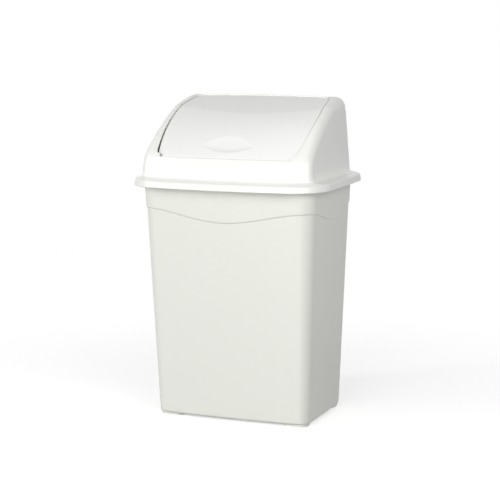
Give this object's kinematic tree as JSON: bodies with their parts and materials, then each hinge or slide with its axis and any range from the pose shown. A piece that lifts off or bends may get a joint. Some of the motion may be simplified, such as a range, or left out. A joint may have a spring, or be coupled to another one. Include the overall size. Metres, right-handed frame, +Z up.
{
  "type": "swing-lid bin",
  "caption": "Small white countertop bin: a tapered bucket under a sloping hood, with a curved flap that swings both ways on side pins.",
  "frame": {"origin": "on the surface that the bin stands on, under the middle of its bounding box", "axes": "+Z up, +X along the width, the front with the flap's lower edge faces -Y"},
  "size_m": [0.2008, 0.1612, 0.3116],
  "materials": {
    "bucket": "glossy moulded polypropylene, slightly warm white",
    "hood": "glossy moulded polypropylene, white",
    "swing_flap": "glossy moulded polypropylene, white"
  },
  "bodies": {
    "bucket": {"bucket": "bucket"},
    "hood": {"hood": "hood"},
    "swing_flap": {"swing_flap": "swing_flap"}
  },
  "joints": [
    {"name": "hood_lift", "type": "slide", "parent": "bucket", "child": "hood", "axis": [0, 0, 1], "range_m": [0, 0.09]},
    {"name": "flap_swing", "type": "hinge", "parent": "hood", "child": "swing_flap", "pos_m": [0, -0.00811, 0.2894], "axis": [1, 0, 0], "range_deg": [-70, 80]}
  ]
}
